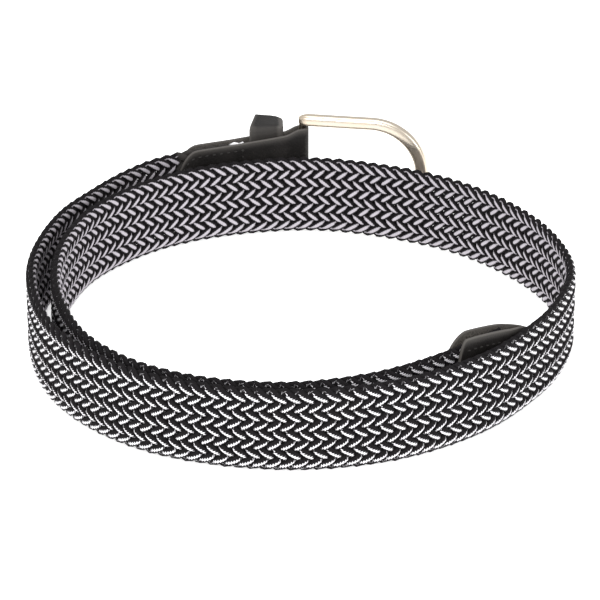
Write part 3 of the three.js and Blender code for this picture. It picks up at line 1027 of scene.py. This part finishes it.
def makeKeeper():
    place, along, outward = stationAt(beltLength - keeper["distance"])
    half = keeper["thickness"] / 2
    runs = foldSpace + ends["leather"] / 2
    inside = runs - ends["leather"] / 2 - ends["clearance"] - half
    outside = runs + ends["leather"] / 2 + keeper["slot"] + half
    top = tongueHeight / 2 + keeper["headroom"] + half
    tall = top + keeper["rise"]
    corners = np.array([(inside, -top), (outside, -tall), (outside, tall), (inside, top)])
    outline = []
    for index, corner in enumerate(corners):
        before = corners[index - 1]
        after = corners[(index + 1) % 4]
        start = corner + (before - corner) * keeper["corner"] / np.linalg.norm(before - corner)
        finish = corner + (after - corner) * keeper["corner"] / np.linalg.norm(after - corner)
        for share in np.linspace(0, 1, 8):
            outline.append(
                (1 - share) ** 2 * start + 2 * share * (1 - share) * corner + share**2 * finish
            )
        reach = np.linalg.norm(after - corner)
        for share in np.linspace(0, 1, max(2, round(reach / 2)), endpoint=False)[1:]:
            stop = after + (corner - after) * keeper["corner"] / reach
            outline.append(finish + (stop - finish) * share)
    outline = np.array(outline)
    rings = []
    edges = []
    for index, point in enumerate(outline):
        tangent = outline[(index + 1) % len(outline)] - outline[index - 1]
        tangent /= np.linalg.norm(tangent)
        share = (point[0] - inside) / (outside - inside)
        wide = keeper["widthInside"] + (keeper["widthOutside"] - keeper["widthInside"]) * share
        section = roundedBlock(half, wide / 2, half * 0.75, 5)
        curl = keeper["curl"] * np.clip(section[:, 1] * 2 / wide, 0, 1) ** keeper["curlEase"]
        away = point[0] + tangent[1] * (section[:, 0] - curl)
        slant = keeper["skew"] * share * max(0.0, point[1] / top) * 2 / wide
        rise = point[1] - tangent[0] * (section[:, 0] - curl) - slant * section[:, 1]
        sideways = section[:, 1] + keeper["lean"] * share
        points = place + away[:, None] * outward + sideways[:, None] * along + rise[:, None] * up
        rings.append(points * mm)
        # painted highlight along the curled edge beside the buckle, a plain cut edge on the other
        # side
        lighterPart = np.where(section[:, 1] > 0, keeper["litEdgeWidth"], half * 1.1)
        # painted highlight on the run inside the strap's end, given through the edge colour
        nearHighlight = (1 - smoothStep(share / 0.15)) * keeper["nearWallHighlight"]
        border = smoothStep((np.abs(section[:, 1]) - (wide / 2 - lighterPart)) / (lighterPart * 0.6))
        edges.append(np.maximum(nearHighlight, border))
    return loft("keeper_band", rings, leather, {"edgeAndHighlight": np.concatenate(edges)}, closed=True)


keeperBand = makeKeeper()
print("the keeper is made")


# ---- stitches
def stitchTree():
    tree, given = newTree("stitchRow", ("Pitch", "Stitch Length", "Thickness"))
    row = out(tree, addNode(tree, "GeometryNodeMeshToCurve", None, {0: given["Geometry"]}))
    values = {"Curve": row, "Length": given["Pitch"]}
    row = out(tree, addNode(tree, "GeometryNodeResampleCurve", {"mode": "LENGTH"}, values))
    values = {"Segments": 10, "Rings": 7, "Radius": 1.0}
    bead = addNode(tree, "GeometryNodeMeshUVSphere", None, values)
    halfThick = given["Thickness"] / 2
    size = joinVector(tree, halfThick, halfThick, given["Stitch Length"] / 2)
    values = {"Geometry": out(tree, bead), "Scale": size}
    bead = out(tree, addNode(tree, "GeometryNodeTransform", None, values))
    bead = out(tree, addNode(tree, "GeometryNodeSetShadeSmooth", None, {"Geometry": bead}))
    tangent = out(tree, addNode(tree, "GeometryNodeInputTangent"))
    facing = addNode(tree, "FunctionNodeAlignRotationToVector", {"axis": "Z"}, {"Vector": tangent})
    values = {"Points": row, "Instance": bead, "Rotation": out(tree, facing)}
    placed = out(tree, addNode(tree, "GeometryNodeInstanceOnPoints", None, values))
    finishTree(tree, placed, given["Material"])
    return tree


rowTree = stitchTree()


def stitchRows(name, rows):
    return useTree(
        chainPiece(name, rows),
        rowTree,
        {
            "Pitch": stitching["pitch"],
            "Stitch Length": stitching["length"],
            "Thickness": stitching["thickness"],
            "Material": thread,
        },
    )


def faceRow(distanceOf, spaceOf, stations, side):
    # a row on the strip's outer face through stations of (distance from the turn, height)
    row = []
    for away, height in stations:
        place, _, outward = stationAt(distanceOf(away))
        space = spaceOf(away) + ends["leather"] + stitching["thickness"] / mm * stitching["proud"]
        spot = place + outward * side * space
        spot[2] = height
        row.append(spot)
    return row


def insetRow(middleHeight, halfHeight, first, last, reach):
    # reach: how far inside the edge, negative for the lower edge
    stations = []
    for away in np.arange(first, last, 0.5):
        fromMiddle = max(stitching["least"], halfHeight(away) - abs(reach))
        stations.append((away, middleHeight(away) + math.copysign(fromMiddle, reach)))
    return stations


def tipMiddle(away):
    return tongueHeight / 2


def buckleMiddle(away):
    return heightAt(beltLength - away)


def makeStitches():
    tipRows = []
    strapRows = []
    cross = stitching["crossRow"]
    tipInset = stitching["tipInset"]
    strapInset = stitching["strapInset"]
    for side in (1, -1):
        tipLast = tipSize(side)[0] - tipInset
        strapLast = buckleSize(side)[0] - strapInset
        tipHalf = partial(tipHeight, side)
        strapHalf = partial(buckleHeight, side)
        for sign in (1, -1):
            stations = insetRow(tipMiddle, tipHalf, tipInset, tipLast, sign * tipInset)
            tipRows.append(faceRow(tipDistance, tipSpace, stations, side))
            stations = insetRow(buckleMiddle, strapHalf, cross, strapLast, sign * strapInset)
            strapRows.append(faceRow(buckleDistance, buckleSpace, stations, side))
        reach = strapHalf(cross) - strapInset
        heights = buckleMiddle(cross) + np.arange(-reach, reach, 0.5)
        stations = [(cross, height) for height in heights]
        strapRows.append(faceRow(buckleDistance, buckleSpace, stations, side))
    return stitchRows("tip_stitches", tipRows), stitchRows("strap_end_stitches", strapRows)


tipStitches, strapStitches = makeStitches()
print("the stitches are made")


# ---- buckle
def makeFrame():
    halfOuter = frameHeight / 2
    halfInner = windowHeight / 2
    left = -buckle["bar"]
    right = buckle["length"] - buckle["bar"]
    inner = []
    outer = []
    steps = buckle["straightSteps"]
    for x in np.linspace(left, right - halfOuter, steps, endpoint=False):
        share = (x - left) / (right - halfOuter - left)
        outer.append((x, -halfOuter))
        inner.append((left + share * (right - buckle["toe"] - halfInner - left), -halfInner))
    for angle in np.linspace(-math.pi / 2, math.pi / 2, 73):
        direction = np.array((math.cos(angle), math.sin(angle)))
        outer.append(np.array((right - halfOuter, 0)) + direction * halfOuter)
        inner.append(np.array((right - buckle["toe"] - halfInner, 0)) + direction * halfInner)
    outer, inner = (
        np.array([*side, *[(x, -y) for x, y in side[:steps][::-1]]]) for side in (outer, inner)
    )
    centre = (outer + inner) / 2
    across = (outer - inner) / 2
    halfDepth = buckle["depth"] / 2
    angles = np.linspace(0, math.tau, 28, endpoint=False)
    shape = buckle["squareness"]
    wide = np.sign(np.cos(angles)) * np.abs(np.cos(angles)) ** shape
    deep = np.sign(np.sin(angles)) * np.abs(np.sin(angles)) ** shape
    rings = []
    scales = buckle["roundedEnd"]
    for index in range(len(centre)):
        fromEnd = min(index, len(centre) - 1 - index)
        scale = scales[fromEnd] if fromEnd < len(scales) else 1.0
        flat = centre[index] + across[index] * wide[:, None] * scale
        points = np.column_stack((flat[:, 0], -deep * halfDepth * scale, flat[:, 1]))
        rings.append(points * mm)
    piece = loft("d_frame", rings, metal)
    rod = linked("bar", bpy.data.meshes.new("bar"))
    work = bmesh.new()
    bmesh.ops.create_cone(
        work,
        segments=32,
        radius1=buckle["bar"] * mm,
        radius2=buckle["bar"] * mm,
        depth=(windowHeight + buckle["arm"]) * mm,
        cap_ends=True,
    )
    work.to_mesh(rod.data)
    work.free()
    combine(piece, rod, "UNION", metal)
    standAtBar(piece, frameHeight / 2)
    piece.data.shade_smooth()
    return piece


def standAtBar(piece, height, droop=0.0):
    piece.data.transform(
        Matrix.Translation(Vector((bar[0], bar[1], height)) * mm)
        @ Matrix.Rotation(math.radians(buckle["heading"]), 4, "Z")
        @ Matrix.Rotation(math.radians(droop), 4, "Y")
    )


def makeProng():
    hole = buckle["bar"] + buckle["prongPlay"]
    thick = buckle["prongThickness"]
    eye = hole + thick
    seat = buckle["depth"] / 2 + ends["clearance"]
    end = buckle["length"] - buckle["bar"] + buckle["prongOverhang"]
    start = math.asin((eye - thick) / eye)
    straight = end - buckle["toe"] * 1.6
    nose = thick / 2
    tops = seat + thick
    outline = [
        (straight, seat), (end - nose, seat), (end, seat + thick / 3),
        (end - nose / 3, seat + thick * 5 / 6), (end - nose, tops), (straight, tops),
    ]  # fmt: skip
    for angle in np.linspace(math.pi / 2, math.tau + start, 40):
        outline.append((eye * math.cos(angle), eye * math.sin(angle)))
    angles = np.linspace(0, math.tau, 32, endpoint=False)
    ring = [(hole * math.cos(angle), hole * math.sin(angle)) for angle in angles]
    edge = buckle["prongEdge"]
    curve = bpy.data.curves.new("prong", "CURVE")
    curve.dimensions = "2D"
    curve.fill_mode = "BOTH"
    curve.extrude = (buckle["prongWidth"] / 2 - edge) * mm
    curve.bevel_depth = edge * mm
    curve.bevel_resolution = 2
    curve.offset = -edge * mm
    for points in (outline, ring):
        spline = curve.splines.new("POLY")
        spline.points.add(len(points) - 1)
        for point, (x, y) in zip(spline.points, points):
            point.co = (x * mm, y * mm, 0, 1)
        spline.use_cyclic_u = True
    source = linked("prong_outline", curve)
    graph = bpy.context.evaluated_depsgraph_get()
    mesh = bpy.data.meshes.new_from_object(source.evaluated_get(graph))
    bpy.data.objects.remove(source)
    mesh.name = "prong"
    mesh.materials.clear()
    mesh.materials.append(metal)
    piece = linked("prong", mesh)
    work = bmesh.new()
    work.from_mesh(mesh)
    bmesh.ops.remove_doubles(work, verts=work.verts, dist=0.01 * mm)
    bmesh.ops.recalc_face_normals(work, faces=work.faces)
    work.to_mesh(mesh)
    work.free()
    standAtBar(piece, bar[2] - buckle["prongSettle"], buckle["prongDroop"])
    return piece


dFrame = makeFrame()
prong = makeProng()
print("the buckle is made")


# ---- floor
def makeFloor():
    half = studio["floorSize"] / 2
    corners = [(-half, -half, 0), (half, -half, 0), (half, half, 0), (-half, half, 0)]
    floor = newPiece("floor", corners, [(0, 1, 2, 3)], floorMaterial())


makeFloor()

# ---- what each piece rides on and stands for
for cord in cords:
    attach(cord, "belt")
    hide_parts("braided_band")
leatherPieces = {"tip_leather": tipCover, "buckle_leather": strapEnd, "keeper_loop": keeperBand}
for node, piece in leatherPieces.items():
    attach(piece, "belt")
    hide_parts(node)
for piece in (tipStitches, strapStitches):
    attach(piece, "belt")
for piece, node in ((dFrame, "buckle_frame"), (prong, "buckle_prong")):
    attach(piece, "buckle")
    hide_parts(node)
